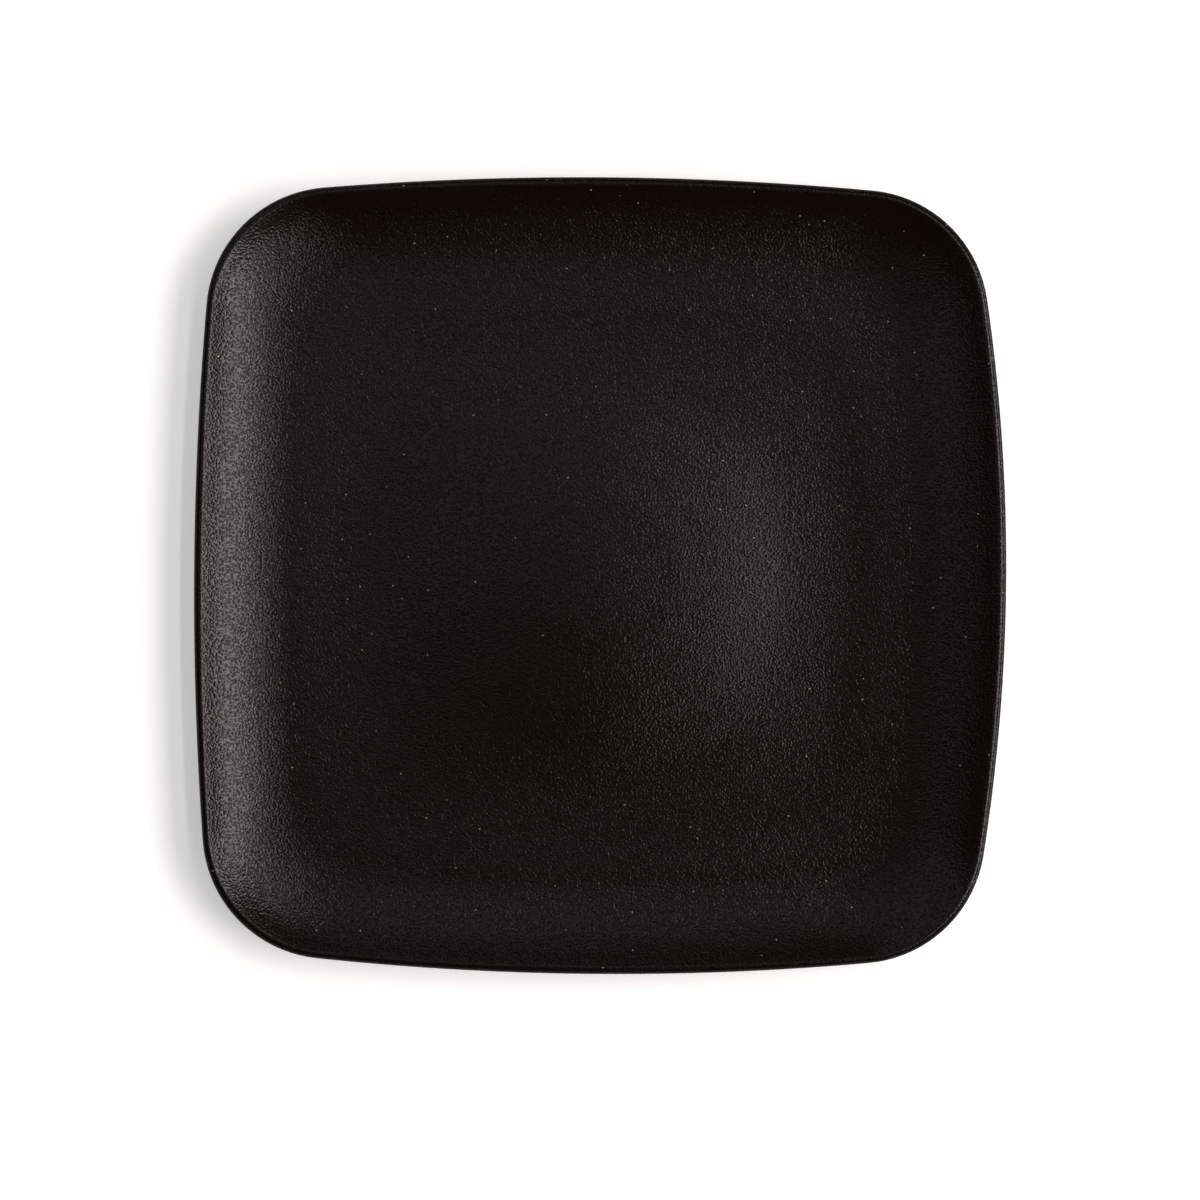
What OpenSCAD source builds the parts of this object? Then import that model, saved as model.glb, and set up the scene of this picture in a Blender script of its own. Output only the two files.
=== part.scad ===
// Soft-square dessert plate: a pressed stoneware body with a satin black glaze, on a ground foot ring.
// The origin is the middle of the plate on the plane that the foot stands on. +X is the right side,
// +Y is the back and +Z is up. All sizes are finished sizes, glaze included, unless they say clay.

/* [Outline] */
// Overall width, left to right
plate_w = 210; // [190:1:240]
// Overall depth, front to back
plate_d = 206; // [190:1:240]
// Radius of the four corners
corner_r = 33; // [24:1:48]
// Bow radius of the right side
right_bow_r = 480; // [300:10:1200]
// Bow radius of the back side
back_bow_r = 830; // [300:10:1200]
// Bow radius of the left side
left_bow_r = 890; // [300:10:1200]
// Bow radius of the front side
front_bow_r = 740; // [300:10:1200]
// Radius at the middle within which the level lines are true circles
round_r = 26; // [10:1:34]

/* [Rim] */
// Overall height, foot to lip
plate_h = 17; // [16.5:0.5:21]
// Thickness of the full-round lip
lip_t = 3.2; // [2.6:0.1:4]
// Slope of the rim wall above level, in degrees
wall_slope = 26; // [22:1:27]
// Radius of the cove between the rim wall and the well
cove_r = 52; // [40:1:58]

/* [Well] */
// Thickness of the floor at the lowest line of the well
floor_t = 5.4; // [4.6:0.1:6]
// Slope of the crown in the middle of the well at its steepest line, in degrees
crown_slope = 5.2; // [2:0.2:6]
// Width of the valley round the crown, from the crown's steepest line to the dish
valley_w = 26; // [18:1:36]
// Slope of the dish between the valley and the cove, in degrees
dish_slope = 2.6; // [1:0.2:3.2]
// Width of the dish
dish_w = 12; // [6:0.5:18]

/* [Foot] */
// Height of the foot ring
foot_h = 4.6; // [3.6:0.1:5.2]
// Distance of the foot's middle line inside the edge of the well
foot_inset = 20.5; // [14:0.5:26]
// Clay width of the foot at its end, before grinding
foot_w = 4; // [3:0.1:6]
// Draft of the foot's walls, in degrees
foot_draft = 12; // [4:1:20]
// Radius of the fillets at the foot's root
foot_fillet_r = 1.8; // [0.8:0.1:2.2]
// Radius of the sponged edges at the foot's end
foot_edge_r = 1.2; // [0.6:0.1:1.4]
// Depth ground off the foot's end to make it stand level
grind = 0.3; // [0.1:0.05:0.5]
// Rise of the ceiling inside the foot
vault_h = 2.4; // [0.6:0.1:3]

/* [Glaze] */
// Thickness of the glaze
glaze_t = 0.35; // [0.2:0.05:0.5]
// Height of the bare clay left above the foot's end
bare_h = 1.2; // [0.9:0.1:1.6]

/* [Hidden] */

clay_color = "#8d7f70";
glaze_color = "#211c1a";
base_glaze_color = "#2b2523";

// How many straight steps stand for each curve
side_steps = 6;
corner_steps = 9;
crown_steps = 4;
valley_steps = 5;
cove_steps = 6;
lip_steps = 3;
fillet_steps = 3;
edge_steps = 3;
vault_steps = 4;

half_w = plate_w / 2;
half_d = plate_d / 2;

// Height of the well's lowest line above the standing plane
floor_z = foot_h + floor_t;

// Middle of the lip's round, and the direction square to the rim wall, as [half width, height]
lip_r = lip_t / 2;
lip_mid = [half_w - lip_r, plate_h - lip_r];
wall_normal = [-sin(wall_slope), cos(wall_slope)];

// The valley falls from the crown's slope to its lowest line and rises from there to the dish's slope
crown_fall = tan(crown_slope);
dish_climb = tan(dish_slope);
valley_bend = (crown_fall + dish_climb) / valley_w;
lowest_out = crown_fall / valley_bend;
dish_foot_h = dish_climb ^ 2 / (2 * valley_bend);
dish_end_z = floor_z + dish_foot_h + dish_w * dish_climb;

// The rim wall takes up the height that the dish, the cove and the lip leave over
wall_top = lip_mid + lip_r * wall_normal;
cove_rise = cove_r * (cos(dish_slope) - cos(wall_slope));
cove_run = cove_r * (sin(wall_slope) - sin(dish_slope));
wall_run = (wall_top.y - dish_end_z - cove_rise) / tan(wall_slope);
well_r = wall_top.x - wall_run - cove_run;
cove_mid = [well_r - cove_r * sin(dish_slope), dish_end_z + cove_r * cos(dish_slope)];
rim_length = cove_r * (wall_slope - dish_slope) * PI / 180 + wall_run / cos(wall_slope);

// Half widths at the foot of the dish, at the crown's steepest line and at the well's lowest line
dish_foot_r = well_r - dish_w;
shoulder_r = dish_foot_r - valley_w;
lowest_r = shoulder_r + lowest_out;
crown_h = crown_fall * lowest_r / 2;

// Foot: its middle line, and the middles of its root fillets and edge rounds as offsets from that line
foot_r = well_r - foot_inset;
fillet_z = foot_h - foot_fillet_r;
fillet_out = foot_wall(fillet_z + foot_fillet_r * sin(foot_draft), 0) + foot_fillet_r * cos(foot_draft);
edge_z = foot_edge_r - grind;
edge_out = foot_wall(edge_z - foot_edge_r * sin(foot_draft), glaze_t) - foot_edge_r * cos(foot_draft);
vault_r = foot_r - fillet_out;

// Half thickness of the foot at a height, for the surface that lies depth under the finished glaze
function foot_wall(z, depth) =
    foot_w / 2 + z * tan(foot_draft) + (glaze_t - depth) / cos(foot_draft);

function on_circle(middle, radius, angle) = middle + radius * [cos(angle), sin(angle)];
function angle_from(middle, point) = atan2(point.y - middle.y, point.x - middle.x);

// The crossing of two circles that lies to the left of the way from the first middle to the second
function crossing(middle_a, radius_a, middle_b, radius_b) =
    let (apart = norm(middle_b - middle_a),
         ahead = (middle_b - middle_a) / apart,
         along = (radius_a ^ 2 - radius_b ^ 2 + apart ^ 2) / (2 * apart),
         aside = sqrt(radius_a ^ 2 - along ^ 2))
    middle_a + along * ahead + aside * [-ahead.y, ahead.x];

// Points of an arc turning left, without its last one
function arc(middle, radius, start, end, steps) =
    let (turn = end < start ? end + 360 - start : end - start)
    [for (k = [0 : steps - 1]) on_circle(middle, radius, start + turn * k / steps)];

// Sides in turn: right, back, left, front
bow_r = [right_bow_r, back_bow_r, left_bow_r, front_bow_r];
bow_mid = [
    [half_w - right_bow_r, 0],
    [0, half_d - back_bow_r],
    [left_bow_r - half_w, 0],
    [0, front_bow_r - half_d],
];
corner_mid = [for (i = [0 : 3]) let (next = (i + 1) % 4)
    crossing(bow_mid[i], bow_r[i] - corner_r, bow_mid[next], bow_r[next] - corner_r)];

// The lip's outer edge in plan: four bowed sides, each followed by its corner
outline = [for (i = [0 : 3])
    let (last = (i + 3) % 4,
         next = (i + 1) % 4,
         side_start = angle_from(bow_mid[i], corner_mid[last]),
         side_end = angle_from(bow_mid[i], corner_mid[i]),
         corner_end = angle_from(bow_mid[next], corner_mid[i]))
    each concat(
        arc(bow_mid[i], bow_r[i], side_start, side_end, side_steps),
        arc(corner_mid[i], corner_r, side_end, corner_end, corner_steps))];
around = len(outline);

// How far a level line has gone from a circle to the lip's outline
function squareness(r) =
    let (share = max(0, r - round_r) / (half_w - round_r))
    share ^ 2 * (3 - 2 * share);

// A level line of the plate: r is its half width to the right
function ring(r, z) = [for (p = outline)
    let (reach = norm(p), out = r + squareness(r) * (reach - half_w))
    [p.x / reach * out, p.y / reach * out, z]];

// The section's parts are lists of [half width, height], for the surface depth under the finished glaze.
// The crown is a parabola, and the valley another that meets it in its steepest line.
function crown_z(r) = floor_z + crown_h - crown_fall * r ^ 2 / (2 * shoulder_r);
function valley_z(r) = floor_z + valley_bend * (r - lowest_r) ^ 2 / 2;

function crown(depth) = [for (k = [0 : crown_steps - 1])
    let (r = shoulder_r * k / crown_steps)
    [r, crown_z(r) - depth]];

function valley(depth) = [for (k = [0 : valley_steps])
    let (r = shoulder_r + valley_w * k / valley_steps)
    [r, valley_z(r) - depth]];

// Slope of the cove at one of its steps
function cove_angle(k) = dish_slope + (wall_slope - dish_slope) * k / cove_steps;

function cove(depth) = [for (k = [0 : cove_steps])
    on_circle(cove_mid, cove_r + depth, cove_angle(k) - 90)];

// The lip's round turns from the rim wall over its top, out to its edge and back to the underside
lip_turns = concat(
    [wall_slope + 90],
    [for (k = [0 : lip_steps]) 90 - 90 * k / lip_steps],
    [(wall_slope - 90) / 2, wall_slope - 90]);

function lip(depth) = [for (angle = lip_turns) on_circle(lip_mid, lip_r - depth, angle)];

// The rim thins from the floor's thickness to the lip's along its length
function rim_t(angle) =
    let (share = cove_r * (angle - dish_slope) * PI / 180 / rim_length)
    lip_t + (floor_t - lip_t) * (1 + cos(180 * share)) / 2;

function underside(depth) = [for (k = [cove_steps : -1 : 0]) let (angle = cove_angle(k))
    on_circle(cove_mid, cove_r + rim_t(angle) - depth, angle - 90)];

// One half of the foot from its root down to the glaze's edge: side is 1 outside and -1 inside
function foot_side(side, depth) = concat(
    [for (k = [0 : fillet_steps]) let (angle = 90 + (90 - foot_draft) * k / fillet_steps)
        [foot_r + side * (fillet_out + (foot_fillet_r + depth) * cos(angle)),
         fillet_z + (foot_fillet_r + depth) * sin(angle)]],
    [[foot_r + side * foot_wall(bare_h, depth), bare_h]]);

// The bare clay round under it
function foot_edge(side) = [for (k = [0 : edge_steps])
    let (angle = -foot_draft - (90 - foot_draft) * k / edge_steps)
    [foot_r + side * (edge_out + foot_edge_r * cos(angle)), edge_z + foot_edge_r * sin(angle)]];

function vault(depth) = [for (k = [vault_steps - 1 : -1 : 0]) let (share = k / vault_steps)
    [vault_r * share, foot_h + depth + vault_h * (1 - share ^ 2)]];

function reversed(list) = [for (k = [len(list) - 1 : -1 : 0]) list[k]];

function face_to_foot(depth) =
    concat(crown(depth), valley(depth), cove(depth), lip(depth), underside(depth), foot_side(1, depth));
function foot_to_vault(depth) = concat(reversed(foot_side(-1, depth)), vault(depth));

// A step of the section is cut along the same diagonal whichever way the section runs
function rises(a, b) = a.y == b.y ? a.x < b.x : a.y < b.y;

// A closed solid from a section that starts and ends on the middle line
module loft(section) {
    last = len(section) - 1;
    points = concat(
        [[0, 0, section[0].y]],
        [for (k = [1 : last - 1]) each ring(section[k].x, section[k].y)],
        [[0, 0, section[last].y]]);
    end = len(points) - 1;
    sides = [for (k = [1 : last - 2], j = [0 : around - 1])
        let (next = (j + 1) % around,
             a = 1 + (k - 1) * around + j,
             b = 1 + (k - 1) * around + next,
             c = b + around,
             d = a + around)
        each rises(section[k], section[k + 1]) ? [[a, b, c], [a, c, d]] : [[a, b, d], [b, c, d]]];
    top = [for (j = [0 : around - 1]) [0, 1 + (j + 1) % around, 1 + j]];
    bottom = [for (j = [0 : around - 1]) [end - around + j, end - around + (j + 1) % around, end]];
    polyhedron(points, concat(top, sides, bottom));
}

// The fired clay: floor, rim, lip and foot in one piece, with the foot's end ground level
module stoneware_body() {
    color(clay_color) difference() {
        loft(concat(face_to_foot(glaze_t), foot_edge(1), reversed(foot_edge(-1)), foot_to_vault(glaze_t)));
        translate([-half_w, -half_d, -foot_h]) cube([plate_w, plate_d, foot_h]);
    }
}

// The black glaze over the face, the lip and the underside, down to the bare end of the foot
module plate_glaze() {
    color(glaze_color) loft(concat(face_to_foot(0), reversed(face_to_foot(glaze_t))));
}

// The glaze inside the foot, which the bare foot parts from the rest
module base_glaze() {
    color(base_glaze_color) loft(concat(reversed(foot_to_vault(glaze_t)), foot_to_vault(0)));
}

stoneware_body();
plate_glaze();
base_glaze();
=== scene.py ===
# Soft-square dessert plate: pressed stoneware under a satin black glaze, on a bare ground foot ring
import bpy
import numpy as np
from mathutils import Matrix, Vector


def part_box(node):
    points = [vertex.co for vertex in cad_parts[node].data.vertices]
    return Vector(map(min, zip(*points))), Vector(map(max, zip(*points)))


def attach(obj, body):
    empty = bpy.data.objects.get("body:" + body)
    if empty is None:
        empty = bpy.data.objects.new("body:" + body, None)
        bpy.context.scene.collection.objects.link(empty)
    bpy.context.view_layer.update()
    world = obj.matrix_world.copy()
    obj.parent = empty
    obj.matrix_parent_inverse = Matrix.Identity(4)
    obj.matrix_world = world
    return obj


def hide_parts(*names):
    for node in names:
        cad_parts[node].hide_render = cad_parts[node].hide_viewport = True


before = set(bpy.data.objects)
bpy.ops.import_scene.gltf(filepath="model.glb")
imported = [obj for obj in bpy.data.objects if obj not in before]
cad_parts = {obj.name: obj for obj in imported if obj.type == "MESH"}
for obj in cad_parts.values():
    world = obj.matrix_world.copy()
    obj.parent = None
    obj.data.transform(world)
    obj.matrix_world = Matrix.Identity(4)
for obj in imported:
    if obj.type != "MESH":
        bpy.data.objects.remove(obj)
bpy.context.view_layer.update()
mm = 0.001
print("frame:", ", ".join(sorted(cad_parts)))

# Plate form, in mm and degrees: the overall sizes come from the frame, the rest are the maker's sizes
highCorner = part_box("plate_glaze")[1]
plateForm = {
    "halfWidth": highCorner.x / mm,
    "halfDepth": highCorner.y / mm,
    "height": highCorner.z / mm,
    "bowRadii": (480, 830, 890, 740),  # right, back, left and front side
    "cornerRadius": 33,
    "roundRadius": 26,  # level lines are circles inside this
    "lipThickness": 3.2,
    "wallSlope": 26,
    "coveRadius": 52,
    "floorThickness": 5.4,
    "crownSlope": 5.2,
    "valleyWidth": 26,
    "dishSlope": 2.6,
    "dishWidth": 12,
    "footHeight": 4.6,
    "footInset": 20.5,
    "footWidth": 4,
    "footDraft": 12,
    "footFilletRadius": 1.8,
    "footEdgeRadius": 1.2,
    "footGrind": 0.3,
    "vaultHeight": 2.4,
    "glazeThickness": 0.35,
    "bareHeight": 1.2,
    "roundSteps": 360,  # points round the plate
}


def direction(angle):
    # unit vectors at angles in degrees
    return np.stack([np.cos(np.radians(angle)), np.sin(np.radians(angle))], -1)


def sideMiddles(form):
    # middles of the circles that the four sides are bowed on
    right, back, left, front = form["bowRadii"]
    width, depth = form["halfWidth"], form["halfDepth"]
    return np.array([[width - right, 0], [0, depth - back], [left - width, 0], [0, front - depth]])


def cornerMiddle(first, firstRadius, second, secondRadius):
    # the crossing of two circles, on the left of the way from the first middle to the second
    apart = np.linalg.norm(second - first)
    ahead = (second - first) / apart
    leftwards = np.array([-ahead[1], ahead[0]])
    along = (firstRadius ** 2 - secondRadius ** 2 + apart ** 2) / (2 * apart)
    return first + along * ahead + np.sqrt(firstRadius ** 2 - along ** 2) * leftwards


def outlineReach(form, turn):
    # distance from the middle to the lip at each angle: the nearest bowed side, or the corner round
    # between the two points where it touches its sides
    ray = np.stack([np.cos(turn), np.sin(turn)], -1)

    def circleReach(middle, radius):
        along = ray @ middle
        return along + np.sqrt(np.maximum(radius ** 2 - middle @ middle + along ** 2, 0))

    middles, radii, corner = sideMiddles(form), form["bowRadii"], form["cornerRadius"]
    reach = np.min([circleReach(m, r) for m, r in zip(middles, radii)], axis=0)
    for side in range(4):
        pair = [side, (side + 1) % 4]
        inner = [radii[p] - corner for p in pair]
        middle = cornerMiddle(middles[pair[0]], inner[0], middles[pair[1]], inner[1])
        away = [middle - middles[p] for p in pair]
        touch = [middle + corner * a / np.linalg.norm(a) for a in away]
        start, end = (np.arctan2(t[1], t[0]) for t in touch)
        inCorner = (turn - start) % (2 * np.pi) < (end - start) % (2 * np.pi)
        reach = np.where(inCorner, circleReach(middle, corner), reach)
    return reach


def plateSection(form):
    # the section's fixed points and slopes, worked out from the sizes; places are (half width, height)
    plate = dict(form)
    wall, dish = np.radians(form["wallSlope"]), np.radians(form["dishSlope"])
    plate["floorZ"] = form["footHeight"] + form["floorThickness"]
    plate["lipRadius"] = form["lipThickness"] / 2
    plate["lipMiddle"] = np.array([form["halfWidth"], form["height"]]) - plate["lipRadius"]
    plate["crownFall"], plate["dishClimb"] = np.tan(np.radians(form["crownSlope"])), np.tan(dish)
    plate["valleyBend"] = (plate["crownFall"] + plate["dishClimb"]) / form["valleyWidth"]
    valleyRise = plate["dishClimb"] ** 2 / (2 * plate["valleyBend"])
    dishEnd = plate["floorZ"] + valleyRise + form["dishWidth"] * plate["dishClimb"]
    wallTop = plate["lipMiddle"] + plate["lipRadius"] * np.array([-np.sin(wall), np.cos(wall)])
    coveRise = form["coveRadius"] * (np.cos(dish) - np.cos(wall))
    wallRun = (wallTop[1] - dishEnd - coveRise) / np.tan(wall)
    plate["wellRadius"] = wallTop[0] - wallRun - form["coveRadius"] * (np.sin(wall) - np.sin(dish))
    coveUp = form["coveRadius"] * np.array([-np.sin(dish), np.cos(dish)])
    plate["coveMiddle"] = np.array([plate["wellRadius"], dishEnd]) + coveUp
    plate["rimLength"] = form["coveRadius"] * (wall - dish) + wallRun / np.cos(wall)
    plate["dishFoot"] = plate["wellRadius"] - form["dishWidth"]
    plate["shoulder"] = plate["dishFoot"] - form["valleyWidth"]
    plate["lowest"] = plate["shoulder"] + plate["crownFall"] / plate["valleyBend"]
    plate["crownHeight"] = plate["crownFall"] * plate["lowest"] / 2
    plate["footRadius"] = plate["wellRadius"] - form["footInset"]
    draft, fillet, edge = np.radians(form["footDraft"]), form["footFilletRadius"], form["footEdgeRadius"]
    plate["filletZ"] = form["footHeight"] - fillet
    filletEnd = plate["filletZ"] + fillet * np.sin(draft)
    plate["filletOut"] = footWall(form, filletEnd, 0) + fillet * np.cos(draft)
    plate["edgeZ"] = edge - form["footGrind"]
    edgeTop = plate["edgeZ"] - edge * np.sin(draft)
    plate["edgeOut"] = footWall(form, edgeTop, form["glazeThickness"]) - edge * np.cos(draft)
    plate["vaultRadius"] = plate["footRadius"] - plate["filletOut"]
    return plate


def footWall(form, z, depth):
    # half thickness of the foot at a height, depth under the finished glaze
    draft = np.radians(form["footDraft"])
    return form["footWidth"] / 2 + z * np.tan(draft) + (form["glazeThickness"] - depth) / np.cos(draft)


def faceProfile(plate, depth, steps):
    # crown parabola, valley parabola, straight dish and the cove's arc, from the middle outwards
    r = np.linspace(0, plate["shoulder"], steps["crown"], endpoint=False)
    fall = plate["crownFall"] * r ** 2 / (2 * plate["shoulder"])
    crown = np.stack([r, plate["floorZ"] + plate["crownHeight"] - fall - depth], -1)
    r = np.linspace(plate["shoulder"], plate["dishFoot"], steps["valley"])
    rise = plate["valleyBend"] * (r - plate["lowest"]) ** 2 / 2
    valley = np.stack([r, plate["floorZ"] + rise - depth], -1)
    angle = np.linspace(plate["dishSlope"], plate["wallSlope"], steps["cove"])
    cove = plate["coveMiddle"] + (plate["coveRadius"] + depth) * direction(angle - 90)
    dish = np.linspace(valley[-1], cove[0], steps["dish"])[1:-1]
    return np.concatenate([crown, valley, dish, cove])


def rimProfile(plate, depth, steps):
    # the lip's full round, then the underside, where the rim grows to the floor's thickness on a cosine
    angle = np.linspace(plate["wallSlope"] + 90, plate["wallSlope"] - 90, steps["lip"])
    lip = plate["lipMiddle"] + (plate["lipRadius"] - depth) * direction(angle)
    angle = np.linspace(plate["wallSlope"], plate["dishSlope"], steps["cove"])
    share = plate["coveRadius"] * np.radians(angle - plate["dishSlope"]) / plate["rimLength"]
    swell = (plate["floorThickness"] - plate["lipThickness"]) * (1 + np.cos(np.pi * share)) / 2
    underRadius = plate["coveRadius"] + plate["lipThickness"] + swell - depth
    under = plate["coveMiddle"] + underRadius[:, None] * direction(angle - 90)
    root = [plate["footRadius"] + plate["filletOut"], plate["footHeight"] + depth]
    flat = np.linspace(under[-1], root, steps["dish"])[1:-1]
    return np.concatenate([lip, under, flat])


def footProfile(plate, side, depth, steps):
    # root fillet and drafted wall of the foot down to the glaze's edge; side is 1 outside and -1 inside
    angle = np.linspace(90, 180 - plate["footDraft"], steps["fillet"])
    middle = np.array([plate["filletOut"], plate["filletZ"]])
    fillet = middle + (plate["footFilletRadius"] + depth) * direction(angle)
    edge = np.array([footWall(plate, plate["bareHeight"], depth), plate["bareHeight"]])
    wall = np.linspace(fillet[-1], edge, steps["wall"])[1:]
    return np.concatenate([fillet, wall]) * [side, 1] + [plate["footRadius"], 0]


def footEnd(plate, side, steps):
    # sponged round of the bare clay, cut level where the foot was ground
    cut = np.degrees(np.arcsin(-plate["edgeZ"] / plate["footEdgeRadius"]))
    angle = np.linspace(-plate["footDraft"], cut, steps["edge"])
    middle = np.array([plate["edgeOut"], plate["edgeZ"]])
    edge = middle + plate["footEdgeRadius"] * direction(angle)
    return edge * [side, 1] + [plate["footRadius"], 0]


def vaultProfile(plate, depth, steps):
    # ceiling inside the foot, a shallow parabola, from the foot to the middle
    share = np.linspace(1, 0, steps["vault"])[1:]
    z = plate["footHeight"] + depth + plate["vaultHeight"] * (1 - share ** 2)
    return np.stack([plate["vaultRadius"] * share, z], -1)


def carryRound(name, plate, profile):
    # a profile that starts and ends on the middle line, carried round the plate: each of its points
    # follows a level line that is a circle near the middle and becomes the lip's outline by a smooth step
    around = plate["roundSteps"]
    turn = np.arange(around) * 2 * np.pi / around
    r, z = profile[1:-1, 0], profile[1:-1, 1]
    share = np.clip((r - plate["roundRadius"]) / (plate["halfWidth"] - plate["roundRadius"]), 0, 1)
    squareness = share ** 2 * (3 - 2 * share)
    out = r[:, None] + squareness[:, None] * (outlineReach(plate, turn) - plate["halfWidth"])
    rings = np.stack([out * np.cos(turn), out * np.sin(turn), np.repeat(z[:, None], around, 1)], -1)
    poles = [[[0, 0, profile[0, 1]]], rings.reshape(-1, 3), [[0, 0, profile[-1, 1]]]]
    points = np.concatenate(poles) * mm

    # four-sided faces between the rings, and a fan of triangles at each pole
    j = np.arange(around)
    nextJ = (j + 1) % around
    ring = 1 + np.arange(len(r))[:, None] * around
    upper, lower = ring[:-1], ring[1:]
    quads = np.stack([upper + j, lower + j, lower + nextJ, upper + nextJ], -1).reshape(-1, 4)
    top = np.stack([np.zeros_like(j), ring[0] + j, ring[0] + nextJ], -1)
    bottom = np.stack([ring[-1] + nextJ, ring[-1] + j, np.full_like(j, len(points) - 1)], -1)
    corners = np.concatenate([top.ravel(), quads.ravel(), bottom.ravel()])
    sizes = np.concatenate([np.full(around, 3), np.full(len(quads), 4), np.full(around, 3)])

    mesh = bpy.data.meshes.new(name)
    mesh.vertices.add(len(points))
    mesh.vertices.foreach_set("co", points.ravel())
    mesh.loops.add(len(corners))
    mesh.loops.foreach_set("vertex_index", corners)
    mesh.polygons.add(len(sizes))
    mesh.polygons.foreach_set("loop_start", np.cumsum(sizes) - sizes)
    mesh.polygons.foreach_set("use_smooth", np.ones(len(sizes), bool))
    mesh.update(calc_edges=True)
    mesh.validate()
    # share of the lip's round at each point, for the glaze
    lip = np.clip((r - plate["lipMiddle"][0]) / plate["lipRadius"] + 1, 0, 1)
    lipShare = mesh.attributes.new("lip", "FLOAT", "POINT")
    lipShare.data.foreach_set("value", [0, *np.repeat(lip, around), 0])
    piece = bpy.data.objects.new(name, mesh)
    bpy.context.scene.collection.objects.link(piece)
    print(name + ":", len(mesh.vertices), "points,", len(mesh.polygons), "faces")
    return piece


# Shared node tools
def linear(code):
    # sRGB hex code to linear RGBA
    value = np.array([int(code[i:i + 2], 16) for i in (1, 3, 5)]) / 255
    value = np.where(value <= 0.04045, value / 12.92, ((value + 0.055) / 1.055) ** 2.4)
    return (*(float(v) for v in value), 1.0)


plainWhite = linear("#ffffff")


def addNode(tree, kind, values=None, links=None, **settings):
    # one node with its settings, its socket values and the outputs that feed its sockets
    node = tree.nodes.new(kind)
    for name, value in settings.items():
        setattr(node, name, value)
    for socket, value in (values or {}).items():
        node.inputs[socket].default_value = value
    for socket, source in (links or {}).items():
        tree.links.new(source, node.inputs[socket])
    return node


def newMaterial(name):
    # a material with an empty node tree
    material = bpy.data.materials.new(name)
    material.use_nodes = True
    material.node_tree.nodes.clear()
    return material, material.node_tree


def addSpecks(tree, place, look):
    # share of a speck at each place: full in its core, none from its radius on
    size = look["speckRadius"] / look["speckSpacing"]
    cells = addNode(tree, "ShaderNodeTexVoronoi", {"Scale": 1 / (look["speckSpacing"] * mm)},
                    {"Vector": place})
    return addNode(tree, "ShaderNodeMapRange", {"From Min": size, "From Max": size * look["speckCore"]},
                   {"Value": cells.outputs["Distance"]}).outputs["Result"]


# Satin black glaze: a matt iron glaze sprayed on and fired. It shows a near-black warm body colour,
# a soft broad gloss, a fine orange-peel grain and a few pale specks, which are painted glints put into
# the colour.
satinGlaze = {
    "colour": "#080301",  # pooled in the grain's dimples
    "thinColour": "#170c05",  # thin over its tops
    # painted glints: pale specks in the base colour that stand in for glints on the grain's tops
    "speckColour": "#9d958a",
    "roughness": (0.28, 0.15),  # in the dimples and on the tops
    "ior": 1.5,
    "gloss": (0.12, 0.28),  # likewise: under a clear glaze's 0.5, because fine crystals break it up
    "grain": 0.55,  # mm, cell of the grain
    "grainDepth": 0.095,  # mm
    "grainSpread": (0.35, 0.65),  # share of the noise that the grain uses
    "lipGrain": 0.6,  # share of the grain left on the lip, where the glaze runs thin and smooth
    "ripple": 3.2,  # mm, slower unevenness
    "rippleDepth": 0.03,  # mm
    # spacing and size of the painted glints
    "speckSpacing": 4.4,  # mm
    "speckRadius": 0.24,  # mm
    "speckCore": 0.4,  # share of the radius
}


def makeSatinGlaze(look):
    material, tree = newMaterial("satinBlackGlaze")
    place = addNode(tree, "ShaderNodeTexCoord").outputs["Object"]
    grain = addNode(tree, "ShaderNodeTexNoise", {"Scale": 1 / (look["grain"] * mm), "Detail": 0.0},
                    {"Vector": place})
    ripple = addNode(tree, "ShaderNodeTexNoise", {"Scale": 1 / (look["ripple"] * mm), "Detail": 1.0},
                     {"Vector": place})
    tint = addNode(tree, "ShaderNodeMix", {"A": linear(look["colour"]), "B": linear(look["thinColour"])},
                   {"Factor": grain.outputs["Fac"]}, data_type="RGBA")
    # painted glints: pale specks mixed into the base colour in place of glints on the grain
    specks = addSpecks(tree, place, look)
    colour = addNode(tree, "ShaderNodeMix", {"B": linear(look["speckColour"])},
                     {"Factor": specks, "A": tint.outputs["Result"]}, data_type="RGBA")

    # roughness and gloss go from their dimple ends to their top ends with the grain
    low, high = look["grainSpread"]
    shine = {}
    for socket, ends in (("Roughness", look["roughness"]), ("Specular IOR Level", look["gloss"])):
        dimple, top = ends
        shine[socket] = addNode(tree, "ShaderNodeMapRange",
                                {"From Min": low, "From Max": high, "To Min": dimple, "To Max": top},
                                {"Value": grain.outputs["Fac"]}).outputs["Result"]

    lip = addNode(tree, "ShaderNodeAttribute", attribute_name="lip").outputs["Fac"]
    grainShare = addNode(tree, "ShaderNodeMapRange", {"To Min": 1.0, "To Max": look["lipGrain"]},
                         {"Value": lip})
    wave = addNode(tree, "ShaderNodeBump", {"Strength": 1.0, "Distance": look["rippleDepth"] * mm},
                   {"Height": ripple.outputs["Fac"]})
    peel = addNode(tree, "ShaderNodeBump", {"Distance": look["grainDepth"] * mm},
                   {"Strength": grainShare.outputs["Result"], "Height": grain.outputs["Fac"],
                    "Normal": wave.outputs["Normal"]})
    shader = addNode(tree, "ShaderNodeBsdfPrincipled", {"IOR": look["ior"]},
                     {**shine, "Base Color": colour.outputs["Result"], "Normal": peel.outputs["Normal"]})
    addNode(tree, "ShaderNodeOutputMaterial", links={"Surface": shader.outputs["BSDF"]})
    return material


# Bare stoneware: fired clay with iron specks and fine grit, rubbed flat on the foot's end
bareClay = {
    "colour": "#8f7d6a",
    "paleColour": "#a39079",
    "speckColour": "#4a3729",
    "roughness": 0.9,
    "ior": 1.5,
    "grit": 0.35,  # mm
    "gritDepth": 0.05,  # mm
    "mottle": 6,  # mm
    "speckSpacing": 1.6,  # mm
    "speckRadius": 0.3,  # mm
    "speckCore": 0.5,  # share of the radius
}


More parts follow.
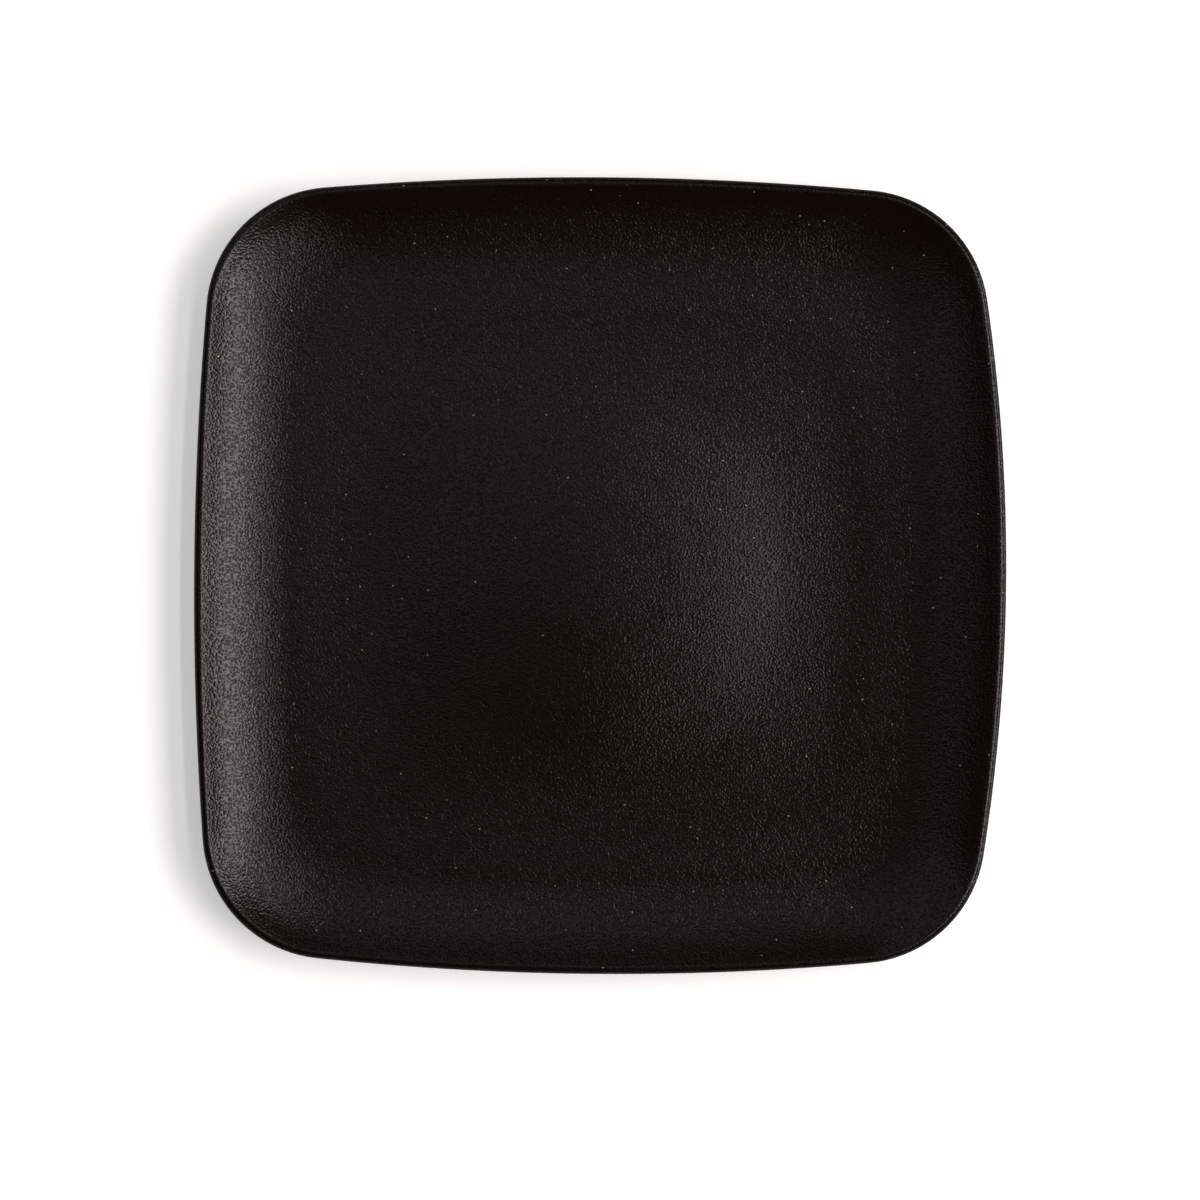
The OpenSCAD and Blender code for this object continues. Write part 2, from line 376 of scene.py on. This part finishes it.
def makeBareClay(look):
    material, tree = newMaterial("bareStoneware")
    place = addNode(tree, "ShaderNodeTexCoord").outputs["Object"]
    grit = addNode(tree, "ShaderNodeTexNoise", {"Scale": 1 / (look["grit"] * mm), "Detail": 3.0},
                   {"Vector": place})
    mottle = addNode(tree, "ShaderNodeTexNoise", {"Scale": 1 / (look["mottle"] * mm), "Detail": 3.0},
                     {"Vector": place})
    clay = addNode(tree, "ShaderNodeMix", {"A": linear(look["colour"]), "B": linear(look["paleColour"])},
                   {"Factor": mottle.outputs["Fac"]}, data_type="RGBA")
    specks = addSpecks(tree, place, look)
    colour = addNode(tree, "ShaderNodeMix", {"B": linear(look["speckColour"])},
                     {"Factor": specks, "A": clay.outputs["Result"]}, data_type="RGBA")
    bump = addNode(tree, "ShaderNodeBump", {"Strength": 1.0, "Distance": look["gritDepth"] * mm},
                   {"Height": grit.outputs["Fac"]})
    shader = addNode(tree, "ShaderNodeBsdfPrincipled",
                     {"IOR": look["ior"], "Roughness": look["roughness"]},
                     {"Base Color": colour.outputs["Result"], "Normal": bump.outputs["Normal"]})
    addNode(tree, "ShaderNodeOutputMaterial", links={"Surface": shader.outputs["BSDF"]})
    return material


# The three pieces: clay body, glaze over face and underside, glaze inside the foot. Steps are counts of
# points along each stretch of the profile, fewer on the clay that the glaze hides.
footSteps = {"fillet": 9, "wall": 4, "edge": 6}
fineSteps = {"crown": 22, "valley": 20, "dish": 8, "cove": 28, "lip": 25, "vault": 20, **footSteps}
claySteps = {"crown": 6, "valley": 8, "dish": 3, "cove": 10, "lip": 9, "vault": 8, **footSteps}

section = plateSection(plateForm)
clayDepth = plateForm["glazeThickness"]


def faceToFoot(depth, steps):
    # from the middle of the face over the lip to the outside of the foot
    face, rim = faceProfile(section, depth, steps), rimProfile(section, depth, steps)
    return np.concatenate([face, rim, footProfile(section, 1, depth, steps)])


def footToMiddle(depth, steps):
    # from the inside of the foot to the middle of the vault
    foot = footProfile(section, -1, depth, steps)
    return np.concatenate([foot[::-1], vaultProfile(section, depth, steps)])


clayFace, clayBase = faceToFoot(clayDepth, claySteps), footToMiddle(clayDepth, claySteps)
clayEnd = np.concatenate([footEnd(section, 1, fineSteps), footEnd(section, -1, fineSteps)[::-1]])
body = carryRound("stonewareBody", section, np.concatenate([clayFace, clayEnd, clayBase]))
coat = carryRound("plateGlaze", section, np.concatenate([faceToFoot(0, fineSteps), clayFace[::-1]]))
base = carryRound("baseGlaze", section, np.concatenate([clayBase[::-1], footToMiddle(0, fineSteps)]))

glaze, clay = makeSatinGlaze(satinGlaze), makeBareClay(bareClay)
print("materials:", glaze.name, "and", clay.name)
for piece, node, slot, material in (
    (body, "stoneware_body", "stoneware", clay),
    (coat, "plate_glaze", "black_glaze", glaze),
    (base, "base_glaze", "black_glaze", glaze),
):
    piece.data.materials.append(material)
    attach(piece, "root")
    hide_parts(node)

# Studio: pale floor, a dark surround with pale walls low round it, a white background and four lights.
# The large soft light, the long strip and the low light are on the right, and the weak fill is close
# above the back left.
studio = {
    "floorSize": 6.0,  # m
    "floorColour": "#fbfbfb",
    "floorGlow": (0.39, 1.0),  # near and far, for the camera alone: the floor is white outside the shadow
    "glowReach": (0.25, 0.9),  # m from the plate's middle, where the far glow begins and is full
    "overhead": 0.03,  # level of the dark surround
    "walls": 0.5,  # level of the pale walls and table low round it
    "wallEdge": (7, 27),  # degrees above the floor, where the walls fade out
    "softLight": {
        "place": (1.08, -0.03, 1.58),  # m
        "size": (1.30, 0.68),  # m
        "power": 23.8,  # W
        "colour": (1.0, 0.94, 0.89),
    },
    "stripLight": {
        "place": (0.66, 0.0, 2.4),  # m
        "size": (2.7, 0.14),  # m
        "power": 10.2,  # W
        "colour": (1.0, 0.94, 0.89),
    },
    "fillLight": {
        "place": (-0.19, 0.245, 0.50),  # m
        "size": (0.49, 0.66),  # m
        "power": 0.5,  # W
        "colour": (0.96, 0.97, 1.0),
    },
    "lowLight": {
        "place": (1.5, 0.0, 0.25),  # m
        "size": (1.4, 0.35),  # m
        "power": 10.8,  # W
        "colour": (1.0, 0.96, 0.93),
    },
}


def makeFloor(room):
    # white paper that takes the plate's shadow, with a glow that rises away from the plate
    half = room["floorSize"] / 2
    mesh = bpy.data.meshes.new("floor")
    corners = [(-half, -half, 0), (half, -half, 0), (half, half, 0), (-half, half, 0)]
    mesh.from_pydata(corners, [], [(0, 1, 2, 3)])
    floor = bpy.data.objects.new("floor", mesh)
    bpy.context.scene.collection.objects.link(floor)
    material, tree = newMaterial("paleFloor")
    seen = addNode(tree, "ShaderNodeLightPath").outputs["Is Camera Ray"]
    paper = addNode(tree, "ShaderNodeBsdfDiffuse", {"Color": linear(room["floorColour"])})
    place = addNode(tree, "ShaderNodeTexCoord").outputs["Object"]
    away = addNode(tree, "ShaderNodeVectorMath", links={0: place}, operation="LENGTH").outputs["Value"]
    (near, far), (begin, full) = room["floorGlow"], room["glowReach"]
    rise = addNode(tree, "ShaderNodeMapRange",
                   {"From Min": begin, "From Max": full, "To Min": near, "To Max": far},
                   {"Value": away}, interpolation_type="SMOOTHSTEP").outputs["Result"]
    level = addNode(tree, "ShaderNodeMath", links={0: seen, 1: rise}, operation="MULTIPLY")
    glow = addNode(tree, "ShaderNodeEmission", {"Color": plainWhite},
                   {"Strength": level.outputs["Value"]})
    lit = addNode(tree, "ShaderNodeAddShader",
                  links={0: paper.outputs["BSDF"], 1: glow.outputs["Emission"]})
    # clear from below, for views of the underside
    below = addNode(tree, "ShaderNodeNewGeometry").outputs["Backfacing"]
    clear = addNode(tree, "ShaderNodeBsdfTransparent")
    shown = addNode(tree, "ShaderNodeMixShader",
                    links={0: below, 1: lit.outputs["Shader"], 2: clear.outputs["BSDF"]})
    addNode(tree, "ShaderNodeOutputMaterial", links={"Surface": shown.outputs["Shader"]})
    mesh.materials.append(material)
    # only the camera sees the floor, so the surround lights the underside and it shows from below
    floor.visible_diffuse = floor.visible_glossy = floor.visible_shadow = False


def makeSurround(room):
    # the camera sees white; what lights the plate is pale near the floor's level and dark overhead
    world = bpy.data.worlds.new("surround")
    world.use_nodes = True
    tree = world.node_tree
    tree.nodes.clear()
    seen = addNode(tree, "ShaderNodeLightPath").outputs["Is Camera Ray"]
    way = addNode(tree, "ShaderNodeTexCoord").outputs["Generated"]
    rise = addNode(tree, "ShaderNodeSeparateXYZ", links={"Vector": way}).outputs["Z"]
    low, high = np.sin(np.radians(room["wallEdge"]))
    level = addNode(tree, "ShaderNodeMapRange",
                    {"From Min": low, "From Max": high,
                     "To Min": room["walls"], "To Max": room["overhead"]},
                    {"Value": rise}, interpolation_type="SMOOTHSTEP").outputs["Result"]
    dark = addNode(tree, "ShaderNodeBackground", {"Color": plainWhite}, {"Strength": level})
    white = addNode(tree, "ShaderNodeBackground", {"Color": plainWhite, "Strength": 1.0})
    both = addNode(tree, "ShaderNodeMixShader",
                   links={0: seen, 1: dark.outputs["Background"], 2: white.outputs["Background"]})
    addNode(tree, "ShaderNodeOutputWorld", links={"Surface": both.outputs["Shader"]})
    bpy.context.scene.world = world


def makeLight(name, settings):
    # a soft rectangle that points at the plate's middle and is out of the camera's sight
    light = bpy.data.lights.new(name, "AREA")
    light.shape = "RECTANGLE"
    light.size, light.size_y = settings["size"]
    light.energy = settings["power"]
    light.color = settings["colour"]
    lamp = bpy.data.objects.new(name, light)
    bpy.context.scene.collection.objects.link(lamp)
    lamp.location = settings["place"]
    lamp.rotation_euler = (-Vector(settings["place"])).to_track_quat("-Z", "Y").to_euler()
    lamp.visible_camera = False


makeFloor(studio)
makeSurround(studio)
for name in ("softLight", "stripLight", "fillLight", "lowLight"):
    makeLight(name, studio[name])
print("studio: floor, surround and four lights")

# Camera: straight above, the lip's plane fills the frame as it does in the photograph
camera = {
    "lens": 140.0,  # mm
    "sensor": 36.0,  # mm
    "frameWidth": 309.8,  # mm of the lip's plane across the picture
    "middleY": -6.3,  # mm, picture's middle on the plate
    "roll": 0.007,  # radians
}
view = bpy.data.cameras.new("camera")
view.lens = camera["lens"]
view.sensor_width = camera["sensor"]
eye = bpy.data.objects.new("camera", view)
bpy.context.scene.collection.objects.link(eye)
away = camera["frameWidth"] * camera["lens"] / camera["sensor"]
eye.location = (0, camera["middleY"] * mm, (plateForm["height"] + away) * mm)
eye.rotation_euler = (0, 0, camera["roll"])
bpy.context.scene.camera = eye
bpy.context.scene.view_settings.view_transform = "Standard"
print("camera:", [round(c, 4) for c in eye.location])
